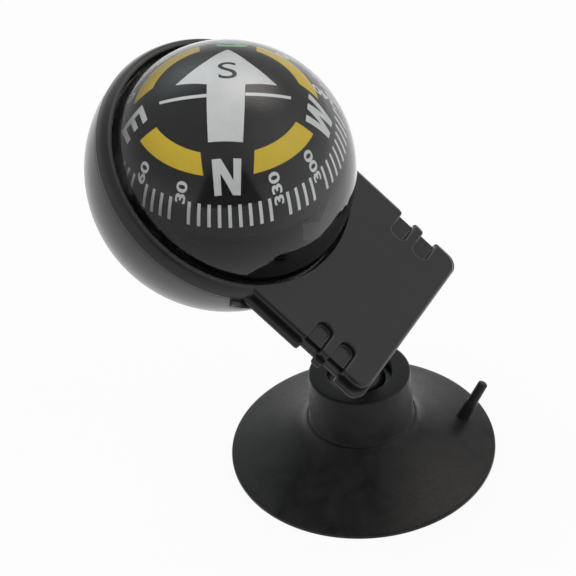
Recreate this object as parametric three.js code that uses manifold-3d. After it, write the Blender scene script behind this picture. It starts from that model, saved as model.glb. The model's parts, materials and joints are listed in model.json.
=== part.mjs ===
// Dashboard compass: a liquid-filled ball compass in a two-part housing with a fluted
// arm, held by a ball joint in the collar of a rubber suction cup. Millimetres, +Z up.
// The ball and socket, the clear dome, the card and the housing are all concentric
// revolves, and the arm is a moulded plate that both halves of the housing share.
import * as THREE from 'three';
import { mergeVertices } from 'three/addons/utils/BufferGeometryUtils.js';
import Module from 'manifold-3d';

// How the head stands on the cup, in degrees
const faceAzimuth = -41.1; // where the dome looks, seen from above
const faceTilt = 40.1; // the dome's axis away from upright
const armSpin = 10; // the arm turned about the dome's axis
const stemSlant = 30; // the stud's stem away from the dome's axis, towards the ball
const cardHeelX = 2.7; // the floating card is almost level
const cardHeelY = 2.7;

// Running gap between pieces that touch, overrun of a cut, and widths of small edges
const gap = 0.3;
const overrun = 1;
const edgeBreak = 0.4;

// Suction cup
const cupRadius = 23.84;
const cupRimThickness = 0.9;
const cupRimWidth = 1.5; // flat ring that rests on the dashboard
const cupHollowHeight = 5.4;
const collarRadius = 9.29;
const collarDraft = 0.29; // how much narrower the collar is at its top
const collarBase = 7.91; // where the skirt runs into the collar
const collarFloor = 2.62; // rubber between the hollow and the socket
const collarLip = 1.4; // rubber over the socket insert
const collarLipReach = 0.74; // how far the lip reaches in over the insert
const tabAzimuth = 9.4;
const tabLean = 29;
const tabLength = 8.15;
const tabFootRadius = 1.1;
const tabTipRadius = 0.9;
const tabInset = 5.14; // from the cup's rim
const tabStep = 3.7; // from the foot to the step in its width
const tabRoot = 0.35; // sunk into the skirt

// Socket insert and ball stud
const ballRadius = 5;
const ballClearance = 0.15;
const socketWall = 1.05;
const socketFloor = 0.7;
const socketRise = 2.24; // how far the insert reaches past the ball's centre
const stemRadius = 2.2;
const stemCollarRadius = 3.5;
const stemCollarHeight = 1.4;
const shankRadius = 2.4;
const studScrewRadius = 1.1;
const studScrewLength = 5.2;
const studScrewHeadRadius = 2.3;
const studScrewHeadHeight = 0.9;

// Clear ball
const domeRadius = 21.5;
const domeWall = 1.2;
const flangeWidth = 1;
const flangeThickness = 1.2;
const flangeTop = 0.2; // above the ball's centre
const gasketThickness = 0.6;
const baseFlangeThickness = 1.1;
const baseCut = 3.9; // how much the capsule's floor cuts off the ball
const baseWall = 1.2;

// Housing: bezel, bowl and arm
const bezelClearance = 0.35; // round the dome, where the bezel seats on its flange
const bezelFlare = 0.29; // how much wider the bezel's opening is at its lip
const bezelLipWidth = 0.66;
const bezelWall = 1.43; // outside the dome's flange
const bezelEdgeHeight = 1.1;
const plateTop = 2.75; // above the ball's centre
const seatHeight = 0.5; // over the dome's flange
const bowlSpace = 0.76; // between the capsule and the bowl
const bowlWall = 1.8;
const armLength = 16.77; // beyond the bezel
const armStart = 12; // inside the bezel's opening
const armHalfWidth = 16.9;
const armCornerRadius = 2.6;
const armEdgeRadius = 0.8;
const skirtWidth = 1.3; // thin flange along the arm's sides
const skirtLength = 0.3; // and past its end
const skirtTop = 1;
const skirtBottom = 0.26;
const skirtCornerRadius = 2.3;
const fluteWidth = 3;
const flutePitch = 5;
const fluteCount = 2;
const fluteEndInset = 6.7; // centre of the last flute from the arm's end
const fluteLength = 5; // from the arm's side to the flute's tip
const fluteFloor = 1.65;
const fluteInset = 1.2; // how far the side steps in across a flute
const socketDrop = 20.94; // the joint's centre below the ball's
const bossInset = 7.04; // from the arm's end to the boss, under the tray

// Arm tray, its bosses and screws
const traySideInset = 2.7; // from the arm's sides
const trayInset = 2; // from the arm's end
const trayDepth = 3.2;
const trayFloor = 1.4;
const trayWall = 1.4;
const trayCornerRadius = 2;
const bossRadius = 4.4;
const bossLength = 3.4; // below the tray, along the stem
const bossWeb = 0.9; // under the stud screw's head
const screwRadius = 1;
const screwHeadRadius = 1.9;
const screwHeadHeight = 1;
const screwSink = 0.7; // depth of the head's counterbore
const pillarRadius = 2.4;
const screwLength = 3.1;
const screwEndInset = 6.1; // last pair of screws from the arm's end
const screwPitch = 6.9;
const screwSideInset = 7.3; // from the arm's sides
const lugReach = 0.67; // past the bezel
const lugDepth = 1.6;
const lugStart = 43.5; // angle from the arm, degrees
const lugSweep = 9.5;

// Card, float, magnets and pivot
const cardRadius = 14.65;
const cardWall = 0.7;
const cardSkirt = 1.28; // how far the card reaches below its centre
const floatClearance = 0.45; // inside the card
const floatWidth = 5;
const floatDepth = 3.4;
const floatChamfer = 1.4;
const webHeight = 1.3;
const webThickness = 0.9;
const magnetWidth = 2.6;
const magnetLength = 15;
const magnetInset = 2.1; // centre of the magnet from the float's bore
const jewelRadius = 1.5;
const jewelHeadRadius = 2.3;
const jewelHeadHeight = 0.6;
const jewelRecessRadius = 1.1;
const jewelRecessDepth = 0.4;
const jewelPlay = 0.2; // from the pin's point to the jewel
const pinRadius = 0.6;
const pinPoint = 2.4; // length of the pin's tapered point
const postRadius = 1.5;
const postHeight = 5.6;
const postFootRadius = 3.4;
const postFootHeight = 1;
const postBoreDepth = 3.2;

// Filling plug, diaphragm and its ring, all under the capsule's floor
const plugRadius = 1.3;
const plugHeadRadius = 2.2;
const plugHeadHeight = 0.8;
const plugClearance = 0.6; // between the plug's head and the diaphragm
const diaphragmRadius = 6.6;
const diaphragmThickness = 0.5;
const reliefRadius = 0.8;
const reliefInset = 2.2; // from the diaphragm's edge
const reliefCount = 3;
const ringWidth = 1.5;
const ringThickness = 0.8;

// Facets
const roundSegments = 40;
const mediumSegments = 24;
const smallSegments = 16;
const domeSteps = 8;
const bowlSteps = 7;
const panSteps = 5;
const cardSteps = 7;
const ballSteps = 6;
const cornerSteps = 4;

const degrees = (angle) => THREE.MathUtils.degToRad(angle);
const wasm = await Module();
wasm.setup();

// A geometry as a solid that can be joined and cut
function solidOf(geometry) {
  const bare = geometry.clone();
  bare.deleteAttribute('normal');
  bare.deleteAttribute('uv');
  const merged = mergeVertices(bare);
  const corners = merged.index.array;
  const kept = [];
  for (let i = 0; i < corners.length; i += 3) {
    const [a, b, c] = [corners[i], corners[i + 1], corners[i + 2]];
    if (a !== b && b !== c && c !== a) kept.push(a, b, c);
  }
  return new wasm.Manifold(new wasm.Mesh({
    numProp: 3,
    vertProperties: new Float32Array(merged.attributes.position.array),
    triVerts: new Uint32Array(kept),
  }));
}

// A solid back as a geometry with flat facets
function geometryOf(solid) {
  const mesh = solid.getMesh();
  const geometry = new THREE.BufferGeometry();
  const positions = new Float32Array(mesh.vertProperties);
  geometry.setAttribute('position', new THREE.BufferAttribute(positions, mesh.numProp));
  geometry.setIndex(new THREE.BufferAttribute(new Uint32Array(mesh.triVerts), 1));
  const flat = geometry.toNonIndexed();
  flat.computeVertexNormals();
  return flat;
}

// A profile of [radius, height] pairs turned about +Z. It runs anticlockwise round its
// section, seen with the radius to the right and the height up.
function turned(profile, segments = roundSegments) {
  const points = profile.map(([radius, height]) => new THREE.Vector2(radius, height));
  return new THREE.LatheGeometry(points, segments).rotateX(Math.PI / 2);
}

// The same for a section that doesn't reach the axis, closed on itself
function turnedRing(profile, segments = roundSegments) {
  return turned([...profile, profile[0]], segments);
}

// Points along an arc about the axis origin, from one angle above the equator to another
function arc(radius, fromAngle, toAngle, steps) {
  const points = [];
  for (let i = 0; i <= steps; i += 1) {
    const angle = fromAngle + (toAngle - fromAngle) * (i / steps);
    points.push([radius * Math.cos(angle), radius * Math.sin(angle)]);
  }
  return points;
}

const angleAtHeight = (radius, height) => Math.asin(height / radius);

// A plain cylinder standing on +Z from one height to another
function rod(radius, fromHeight, toHeight, segments = smallSegments) {
  return turned([[0, fromHeight], [radius, fromHeight], [radius, toHeight], [0, toHeight]], segments);
}

// A flat shape raised from one height to another
function raised(shape, fromHeight, toHeight) {
  const geometry = new THREE.ExtrudeGeometry(shape, {
    depth: toHeight - fromHeight,
    bevelEnabled: false,
    curveSegments: cornerSteps,
  });
  return geometry.translate(0, 0, fromHeight);
}

// An oblong from x = start to x = end with rounded corners at its far end
function tongue(start, end, halfWidth, cornerRadius) {
  const shape = new THREE.Shape();
  shape.moveTo(start, -halfWidth);
  shape.lineTo(end - cornerRadius, -halfWidth);
  shape.absarc(end - cornerRadius, cornerRadius - halfWidth, cornerRadius, -Math.PI / 2, 0, false);
  shape.lineTo(end, halfWidth - cornerRadius);
  shape.absarc(end - cornerRadius, halfWidth - cornerRadius, cornerRadius, 0, Math.PI / 2, false);
  shape.lineTo(start, halfWidth);
  shape.closePath();
  return shape;
}

function colour(hex, roughness, metalness = 0, opacity = 1) {
  return new THREE.MeshStandardMaterial({
    color: hex, roughness, metalness, opacity, transparent: opacity < 1,
  });
}

function piece(name, geometry, material) {
  const mesh = new THREE.Mesh(geometry, material);
  mesh.name = name;
  return mesh;
}

// Radii and heights in the cup's frame
const socketBoreRadius = ballRadius + ballClearance + socketWall + gap;
const socketBottom = cupHollowHeight + collarFloor + gap;
const ballHeight = socketBottom + socketFloor + ballClearance + ballRadius;
const collarMouthRadius = socketBoreRadius - collarLipReach;
const collarMouthBase = ballHeight + socketRise + gap;
const collarTop = collarMouthBase + collarLip;
const collarTopRadius = collarRadius - collarDraft;

// Rubber suction cup: skirt, collar with the socket's bore, and release tab
function suctionCup() {
  const skirtRun = cupRadius - collarRadius;
  const skirtRise = collarBase - cupRimThickness;
  // Shares of the skirt's run and rise, from the rim to the collar
  const skirtShares = [[0.26, 0.2], [0.53, 0.44], [0.76, 0.69], [0.89, 0.87], [0.97, 1.07]];
  const skirt = skirtShares.map(([run, rise]) => [
    cupRadius - skirtRun * run,
    cupRimThickness + skirtRise * rise,
  ]);
  const hollowRadius = cupRadius - cupRimWidth;
  // Shares of the hollow's radius and height, from the rim to the axis
  const hollowShares = [[0, 1], [0.27, 0.96], [0.54, 0.8], [0.78, 0.52], [0.92, 0.22], [1, 0]];
  const hollow = hollowShares.map(([reach, rise]) => [hollowRadius * reach, cupHollowHeight * rise]);
  const profile = [
    ...hollow,
    [cupRadius - edgeBreak, 0],
    [cupRadius, edgeBreak],
    [cupRadius, cupRimThickness],
    ...skirt,
    [collarRadius, collarBase + 2 * edgeBreak],
    [collarTopRadius, collarTop - edgeBreak],
    [collarTopRadius - edgeBreak, collarTop],
    [collarMouthRadius + edgeBreak / 2, collarTop],
    [collarMouthRadius, collarTop - edgeBreak / 2],
    [collarMouthRadius, collarMouthBase],
    [socketBoreRadius, collarMouthBase],
    [socketBoreRadius, socketBottom - gap],
    [0, socketBottom - gap],
  ];
  const tab = turned([
    [0, -tabRoot],
    [tabFootRadius, -tabRoot],
    [tabFootRadius, tabStep],
    [tabTipRadius, tabStep + tabFootRadius - tabTipRadius],
    [tabTipRadius, tabLength - tabTipRadius],
    [tabTipRadius / 2, tabLength],
    [0, tabLength],
  ], smallSegments);
  tab.rotateY(degrees(tabLean));
  const tabFootShare = tabInset / skirtRun;
  const tabFootHeight = cupRimThickness + skirtRise * tabFootShare * skirtShares[0][1] / skirtShares[0][0];
  tab.translate(cupRadius - tabInset, 0, tabFootHeight);
  tab.rotateZ(degrees(tabAzimuth));
  return geometryOf(solidOf(turned(profile)).add(solidOf(tab)));
}

// Hard socket that the ball snaps into. It turns in the rubber collar.
function socketInsert() {
  const bowl = ballRadius + ballClearance;
  const outer = bowl + socketWall;
  const low = socketBottom - ballHeight;
  const profile = [
    [0, low],
    [outer - edgeBreak, low],
    [outer, low + edgeBreak],
    [outer, socketRise],
    ...arc(bowl, angleAtHeight(bowl, socketRise), -Math.PI / 2, ballSteps).slice(0, -1),
    [0, -bowl],
  ];
  return turned(profile, mediumSegments);
}

// Radii of what goes round the clear ball, and the arm's ends and sides
const flangeRadius = domeRadius + flangeWidth;
const rebateRadius = flangeRadius + gap;
const bezelSeatRadius = domeRadius + bezelClearance;
const bezelInnerRadius = bezelSeatRadius + bezelFlare;
const bezelRadius = rebateRadius + bezelWall;
const bowlRadius = domeRadius + bowlSpace + bowlWall;
const lugRadius = bezelRadius + lugReach;
const armReach = bezelRadius + armLength;
const skirtReach = armReach + skirtLength;
const skirtHalfWidth = armHalfWidth + skirtWidth;
const trayHalfWidth = armHalfWidth - traySideInset;
const fluteTipHalfWidth = armHalfWidth - fluteLength;
const bossReach = armReach - bossInset;
const socketReach = bossReach + (socketDrop - trayDepth) * Math.tan(degrees(stemSlant));

// Places along the stem, from the joint's centre
const stemCosine = Math.cos(degrees(stemSlant));
const stemAt = (height) => (socketDrop + height) / stemCosine;
const bossStart = stemAt(-trayDepth) - bossLength;
const studSeat = stemAt(-trayDepth) + trayFloor / 2;
const shankEnd = studSeat - bossWeb - gap;

// Ball, stem, collar and the shank that the arm's boss takes, tapped for its screw
function ballStud() {
  const boreRadius = studScrewRadius + gap;
  const boreFloor = studSeat - studScrewLength - gap;
  const collarEnd = bossStart - gap;
  const neckAngle = Math.acos(stemRadius / ballRadius);
  const profile = [
    ...arc(ballRadius, -Math.PI / 2, neckAngle, 2 * ballSteps).map(([r, z], i) => (i ? [r, z] : [0, z])),
    [stemRadius, collarEnd - stemCollarHeight - stemCollarRadius + stemRadius],
    [stemCollarRadius, collarEnd - stemCollarHeight],
    [stemCollarRadius, collarEnd],
    [shankRadius, collarEnd],
    [shankRadius, shankEnd],
    [boreRadius, shankEnd],
    [boreRadius, boreFloor],
    [0, boreFloor],
  ];
  return turned(profile, mediumSegments);
}

// Screw that holds the stud in the boss
function studScrew() {
  const profile = [
    [0, studSeat - studScrewLength],
    [studScrewRadius, studSeat - studScrewLength],
    [studScrewRadius, studSeat + gap],
    [studScrewHeadRadius, studSeat + gap],
    [studScrewHeadRadius, studSeat + gap + studScrewHeadHeight - edgeBreak],
    [studScrewHeadRadius - edgeBreak, studSeat + gap + studScrewHeadHeight],
    [0, studSeat + gap + studScrewHeadHeight],
  ];
  return turned(profile, smallSegments);
}

// Heights of the capsule's stack below the ball's centre
const flangeBottom = flangeTop - flangeThickness;
const gasketTop = flangeBottom - gap;
const gasketBottom = gasketTop - gasketThickness;
const baseTop = gasketBottom - gap;
const baseFlangeBottom = baseTop - baseFlangeThickness;
const baseDepth = domeRadius - baseCut;
const baseFloorTop = baseWall - baseDepth;
const plugReach = diaphragmRadius + plugHeadRadius + plugClearance;

// Clear dome with its clamping flange
function capsuleDome() {
  const inner = domeRadius - domeWall;
  const profile = [
    [0, inner],
    ...arc(inner, Math.PI / 2, 0, domeSteps).slice(1),
    [inner, flangeBottom],
    [flangeRadius, flangeBottom],
    [flangeRadius, flangeTop],
    ...arc(domeRadius, angleAtHeight(domeRadius, flangeTop), Math.PI / 2, domeSteps).slice(0, -1),
    [0, domeRadius],
  ];
  return turned(profile);
}

// Flat gasket between the dome's flange and the capsule's base
function capsuleGasket() {
  const inner = domeRadius - domeWall + gap;
  return turnedRing([
    [inner, gasketBottom], [flangeRadius, gasketBottom], [flangeRadius, gasketTop], [inner, gasketTop],
  ]);
}

// Black pan that closes the capsule from behind, with the filling and relief holes
function capsuleBase() {
  const inner = domeRadius - domeWall;
  const outside = arc(domeRadius, angleAtHeight(domeRadius, -baseDepth),
    angleAtHeight(domeRadius, baseFlangeBottom), panSteps);
  const inside = arc(inner, angleAtHeight(inner, baseFlangeBottom),
    angleAtHeight(inner, baseFloorTop), panSteps);
  const profile = [
    [0, -baseDepth],
    ...outside,
    [flangeRadius, baseFlangeBottom],
    [flangeRadius, baseTop],
    [inner, baseTop],
    ...inside,
    [0, baseFloorTop],
  ];
  const fillHole = rod(plugRadius + gap, -baseDepth - overrun, baseFloorTop + overrun);
  let base = solidOf(turned(profile)).subtract(solidOf(fillHole.translate(plugReach, 0, 0)));
  for (let i = 0; i < reliefCount; i += 1) {
    const relief = rod(reliefRadius, -baseDepth - overrun, baseFloorTop + overrun);
    relief.translate(diaphragmRadius - reliefInset, 0, 0);
    relief.rotateZ((i + 1 / 2) * 2 * Math.PI / reliefCount);
    base = base.subtract(solidOf(relief));
  }
  return geometryOf(base);
}

// Plug of the filling hole
function fillPlug() {
  const under = -baseDepth - gap;
  const profile = [
    [0, under - plugHeadHeight],
    [plugHeadRadius - edgeBreak, under - plugHeadHeight],
    [plugHeadRadius, under - plugHeadHeight + edgeBreak],
    [plugHeadRadius, under],
    [plugRadius, under],
    [plugRadius, baseFloorTop],
    [0, baseFloorTop],
  ];
  return turned(profile, smallSegments).translate(plugReach, 0, 0);
}

// Elastic disc under the relief holes, which gives as the liquid warms
function expansionDiaphragm() {
  const top = -baseDepth - gap;
  return rod(diaphragmRadius, top - diaphragmThickness, top, mediumSegments);
}

// Ring that clamps the diaphragm
function diaphragmRing() {
  const top = -baseDepth - 2 * gap - diaphragmThickness;
  const inner = diaphragmRadius - ringWidth;
  return turnedRing([
    [inner, top - ringThickness],
    [diaphragmRadius, top - ringThickness],
    [diaphragmRadius, top],
    [inner, top],
  ], mediumSegments);
}

const postFoot = baseFloorTop + gap;
const postBoreFloor = postFoot + postHeight - postBoreDepth;

// Post on the capsule's floor, bored for the pin
function pivotPost() {
  const boreRadius = pinRadius + gap;
  const profile = [
    [0, postFoot],
    [postFootRadius, postFoot],
    [postFootRadius, postFoot + postFootHeight],
    [postRadius, postFoot + postFootHeight],
    [postRadius, postFoot + postHeight],
    [boreRadius, postFoot + postHeight],
    [boreRadius, postBoreFloor],
    [0, postBoreFloor],
  ];
  return turned(profile, smallSegments);
}

// Steel pin whose point is the ball's centre
function pivotPin() {
  const foot = postBoreFloor + gap;
  return turned([[0, foot], [pinRadius, foot], [pinRadius, -pinPoint], [0, 0]], smallSegments);
}

// Jewel cup that turns on the pin's point and carries the card
function jewelCup() {
  const rim = jewelPlay - jewelRecessDepth;
  const neck = webHeight + webThickness + gap;
  const profile = [
    [0, jewelPlay],
    [jewelRecessRadius, rim],
    [jewelRadius, rim],
    [jewelRadius, neck],
    [jewelHeadRadius, neck],
    [jewelHeadRadius, neck + jewelHeadHeight],
    [0, neck + jewelHeadHeight],
  ];
  return turned(profile, smallSegments);
}

// Domed card that carries the printed scale
function cardDome() {
  const inner = cardRadius - cardWall;
  const profile = [
    [0, inner],
    ...arc(inner, Math.PI / 2, angleAtHeight(inner, -cardSkirt), cardSteps).slice(1),
    ...arc(cardRadius, angleAtHeight(cardRadius, -cardSkirt), Math.PI / 2, cardSteps).slice(0, -1),
    [0, cardRadius],
  ];
  return turned(profile);
}

const floatOuterRadius = cardRadius - cardWall - floatClearance;
const floatInnerRadius = floatOuterRadius - floatWidth;

// Float inside the card's rim, with the web that holds the jewel cup
function cardFloat() {
  const hole = jewelRadius + gap;
  const top = webHeight + webThickness;
  return turnedRing([
    [floatInnerRadius, -floatDepth],
    [floatOuterRadius - floatChamfer, -floatDepth],
    [floatOuterRadius, floatChamfer - floatDepth],
    [floatOuterRadius, top],
    [hole, top],
    [hole, webHeight],
    [floatInnerRadius, webHeight],
  ]);
}

// Bar magnet under the float
function cardMagnet(side) {
  const bar = new THREE.BoxGeometry(magnetWidth, magnetLength, magnetWidth);
  const standoff = floatInnerRadius + magnetInset;
  return bar.translate(side * standoff, 0, -floatDepth - gap - magnetWidth / 2);
}

// Oblong with one round end, lying across the arm on one side
function fluteShape(centre, tip, outer, side) {
  const radius = fluteWidth / 2;
  const shape = new THREE.Shape();
  shape.moveTo(centre - radius, side * outer);
  shape.lineTo(centre - radius, side * (tip + radius));
  shape.absarc(centre, side * (tip + radius), radius, Math.PI, 0, side < 0);
  shape.lineTo(centre + radius, side * outer);
  shape.closePath();
  return shape;
}

// Rectangle across a flute from one distance off the arm's middle to another
function stepShape(centre, inner, outer, side) {
  const radius = fluteWidth / 2;
  const shape = new THREE.Shape();
  shape.moveTo(centre - radius, side * inner);
  shape.lineTo(centre + radius, side * inner);
  shape.lineTo(centre + radius, side * outer);
  shape.lineTo(centre - radius, side * outer);
  shape.closePath();
  return shape;
}

// Places of the arm's four screws
function screwPlaces() {
  const last = armReach - screwEndInset;
  const across = armHalfWidth - screwSideInset;
  return [last - screwPitch, last].flatMap((along) => [[along, -across], [along, across]]);
}

const pillarFoot = trayFloor - trayDepth + gap;
const screwSeat = screwSink - trayDepth;

// Front of the housing: the bezel ring and the arm's fluted plate in one moulding
function frontFrame() {
  const lip = bezelInnerRadius + bezelLipWidth;
  const band = bezelRadius - lip;
  const drop = plateTop - bezelEdgeHeight;
  // Shares of the hollow band's width and height, from its outer edge to the lip
  const bandShares = [[0.2, 0.12], [0.55, 0.27], [0.82, 0.6]];
  const bezel = turnedRing([
    [bezelSeatRadius, seatHeight],
    [rebateRadius, seatHeight],
    [rebateRadius, 0],
    [bezelRadius, 0],
    [bezelRadius, bezelEdgeHeight],
    ...bandShares.map(([inward, rise]) => [bezelRadius - band * inward, bezelEdgeHeight + drop * rise]),
    [lip, plateTop],
    [bezelInnerRadius, plateTop],
  ]);
  const panelShape = tongue(armStart, armReach, armHalfWidth, armCornerRadius);
  const panel = new THREE.ExtrudeGeometry(panelShape, {
    depth: plateTop,
    bevelThickness: armEdgeRadius,
    bevelSize: armEdgeRadius,
    bevelOffset: -armEdgeRadius,
    bevelSegments: cornerSteps,
    curveSegments: cornerSteps,
  }).translate(0, 0, -armEdgeRadius);
  const below = tongue(armStart - overrun, armReach + overrun, armHalfWidth + overrun, armCornerRadius);
  const skirtShape = tongue(armStart, skirtReach, skirtHalfWidth, skirtCornerRadius);
  let frame = solidOf(panel).subtract(solidOf(raised(below, -2 * armEdgeRadius, 0)));
  frame = frame.add(solidOf(raised(skirtShape, skirtBottom, skirtTop))).add(solidOf(bezel));
  const opening = turned([
    [0, -overrun],
    [rebateRadius, -overrun],
    [rebateRadius, seatHeight],
    [bezelSeatRadius, seatHeight],
    [bezelInnerRadius, plateTop],
    [bezelInnerRadius, plateTop + overrun],
    [0, plateTop + overrun],
  ]);
  frame = frame.subtract(solidOf(opening));
  const outer = skirtHalfWidth + overrun;
  for (let i = 0; i < fluteCount; i += 1) {
    const centre = armReach - fluteEndInset - i * flutePitch;
    for (const side of [-1, 1]) {
      const pocket = fluteShape(centre, fluteTipHalfWidth, outer, side);
      const step = stepShape(centre, armHalfWidth - fluteInset, outer, side);
      const notch = stepShape(centre, skirtHalfWidth - fluteInset, outer, side);
      frame = frame.subtract(solidOf(raised(pocket, fluteFloor, plateTop + overrun)));
      frame = frame.subtract(solidOf(raised(step, skirtTop, plateTop + overrun)));
      frame = frame.subtract(solidOf(raised(notch, -overrun, plateTop + overrun)));
    }
  }
  for (const [x, y] of screwPlaces()) {
    const pillar = rod(pillarRadius, pillarFoot, seatHeight).translate(x, y, 0);
    const pilotTop = screwSeat + screwLength + gap;
    const pilot = rod(screwRadius + gap, pillarFoot - overrun, pilotTop).translate(x, y, 0);
    frame = frame.add(solidOf(pillar)).subtract(solidOf(pilot));
  }
  return geometryOf(frame);
}

// A geometry made along the stem, moved into the head's frame
function alongStem(geometry) {
  return geometry.rotateY(-degrees(stemSlant)).translate(socketReach, 0, -socketDrop);
}

// Shoulder lug of the bowl beside the arm: a thick arc between two radii
function lugShape(side) {
  const start = degrees(lugStart);
  const end = degrees(lugStart + lugSweep);
  const inner = rebateRadius + gap;
  const shape = new THREE.Shape();
  shape.moveTo(inner * Math.cos(start), side * inner * Math.sin(start));
  shape.lineTo(lugRadius * Math.cos(start), side * lugRadius * Math.sin(start));
  shape.absarc(0, 0, lugRadius, side * start, side * end, side < 0);
  shape.lineTo(inner * Math.cos(end), side * inner * Math.sin(end));
  shape.closePath();
  return shape;
}

// Back of the housing: bowl, shoulder lugs, arm tray and the boss for the stud
function rearShell() {
  const inner = bowlRadius - bowlWall;
  const rim = -gap;
  const seat = baseFlangeBottom - gap;
  const bowl = turned([
    [0, -bowlRadius],
    ...arc(bowlRadius, -Math.PI / 2, angleAtHeight(bowlRadius, rim), bowlSteps).slice(1),
    [0, rim],
  ]);
  const hollow = turned([
    [0, -inner],
    ...arc(inner, -Math.PI / 2, angleAtHeight(inner, seat), bowlSteps).slice(1),
    [rebateRadius, seat],
    [rebateRadius, overrun],
    [0, overrun],
  ]);
  const trayEnd = armReach - trayInset;
  const trayStart = bezelSeatRadius * Math.cos(Math.asin(trayHalfWidth / bezelSeatRadius));
  const tray = raised(tongue(trayStart, trayEnd, trayHalfWidth, trayCornerRadius), -trayDepth, rim);
  const cavityStart = bowlRadius + gap;
  const cavityShape = tongue(cavityStart, trayEnd - trayWall, trayHalfWidth - trayWall,
    trayCornerRadius - trayWall / 2);
  const cavity = raised(cavityShape, trayFloor - trayDepth, overrun);
  let shell = solidOf(bowl).add(solidOf(tray)).subtract(solidOf(cavity));
  for (const side of [-1, 1]) {
    shell = shell.add(solidOf(raised(lugShape(side), -lugDepth, rim)));
  }
  shell = shell.add(solidOf(alongStem(rod(bossRadius, bossStart, studSeat, mediumSegments))));
  shell = shell.subtract(solidOf(hollow));
  const shankBore = rod(shankRadius + gap, bossStart - overrun, studSeat - bossWeb);
  const screwBore = rod(studScrewRadius + gap, bossStart, studSeat + overrun);
  const headRoom = rod(studScrewHeadRadius + gap, studSeat, studSeat + 2 * trayFloor);
  for (const cut of [shankBore, screwBore, headRoom]) {
    shell = shell.subtract(solidOf(alongStem(cut)));
  }
  for (const [x, y] of screwPlaces()) {
    const hole = rod(screwRadius + gap, -trayDepth - overrun, overrun).translate(x, y, 0);
    const sink = rod(screwHeadRadius + gap, -trayDepth - overrun, screwSeat).translate(x, y, 0);
    shell = shell.subtract(solidOf(hole)).subtract(solidOf(sink));
  }
  return geometryOf(shell);
}

// Screw that draws the tray up to the plate's pillars
function armScrew(x, y) {
  const under = screwSeat - gap;
  const profile = [
    [0, under - screwHeadHeight],
    [screwHeadRadius - edgeBreak, under - screwHeadHeight],
    [screwHeadRadius, under - screwHeadHeight + edgeBreak],
    [screwHeadRadius, under],
    [screwRadius, under],
    [screwRadius, screwSeat + screwLength],
    [0, screwSeat + screwLength],
  ];
  return turned(profile, smallSegments).translate(x, y, 0);
}

const blackPlastic = () => colour(0x2c2c2d, 0.42);
const innerPlastic = () => colour(0x18181a, 0.55);
const blackRubber = () => colour(0x232324, 0.78);
const steel = () => colour(0xb9bcc0, 0.32, 1);
const clearPlastic = () => colour(0xf4f7f6, 0.05, 0, 0.3);

const compass = new THREE.Group();
compass.add(piece('suction_cup', suctionCup(), blackRubber()));
compass.add(piece('socket_insert', socketInsert().translate(0, 0, ballHeight), blackPlastic()));

// Turned to the dome's axis, with its origin at the socket's centre
const swivel = new THREE.Group();
swivel.position.set(0, 0, ballHeight);
swivel.rotation.z = degrees(faceAzimuth);
const lean = new THREE.Group();
lean.rotation.y = degrees(faceTilt);
const neck = new THREE.Group();
neck.rotation.z = degrees(armSpin);
compass.add(swivel);
swivel.add(lean);
lean.add(neck);

const stem = new THREE.Group();
stem.rotation.y = -degrees(stemSlant);
stem.add(piece('ball_stud', ballStud(), blackPlastic()));
stem.add(piece('stud_screw', studScrew(), steel()));
neck.add(stem);

// The head's origin is the ball's centre, +Z is the dome's axis and +X runs along the arm
const head = new THREE.Group();
head.position.set(-socketReach, 0, socketDrop);
neck.add(head);
head.add(piece('front_frame', frontFrame(), blackPlastic()));
head.add(piece('rear_shell', rearShell(), blackPlastic()));
screwPlaces().forEach(([x, y], i) => {
  head.add(piece(`arm_screw_${i + 1}`, armScrew(x, y), steel()));
});
head.add(piece('capsule_dome', capsuleDome(), clearPlastic()));
head.add(piece('capsule_gasket', capsuleGasket(), blackRubber()));
head.add(piece('capsule_base', capsuleBase(), innerPlastic()));
head.add(piece('fill_plug', fillPlug(), innerPlastic()));
head.add(piece('expansion_diaphragm', expansionDiaphragm(), blackRubber()));
head.add(piece('diaphragm_ring', diaphragmRing(), innerPlastic()));
head.add(piece('pivot_post', pivotPost(), colour(0xc2a24c, 0.35, 1)));
head.add(piece('pivot_pin', pivotPin(), steel()));

// The card floats level about the ball's centre, whatever the head does
const card = new THREE.Group();
head.updateWorldMatrix(true, false);
card.position.setFromMatrixPosition(head.matrixWorld);
card.rotation.set(degrees(cardHeelX), degrees(cardHeelY), 0);
compass.add(card);
card.add(piece('jewel_cup', jewelCup(), colour(0xc2a24c, 0.3, 1)));
card.add(piece('card_dome', cardDome(), innerPlastic()));
card.add(piece('card_float', cardFloat(), innerPlastic()));
card.add(piece('card_magnet_left', cardMagnet(-1), colour(0x303236, 0.5, 0.6)));
card.add(piece('card_magnet_right', cardMagnet(1), colour(0x303236, 0.5, 0.6)));

// The origin is under the middle of the whole, on the surface that it stands on
const extent = new THREE.Box3().setFromObject(compass, true);
const middle = extent.getCenter(new THREE.Vector3());
compass.position.set(-middle.x, -middle.y, -extent.min.z);
compass.updateMatrixWorld(true);

export default compass;
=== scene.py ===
import json
import math

import bmesh
import bpy
from mathutils import Matrix, Vector


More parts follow.
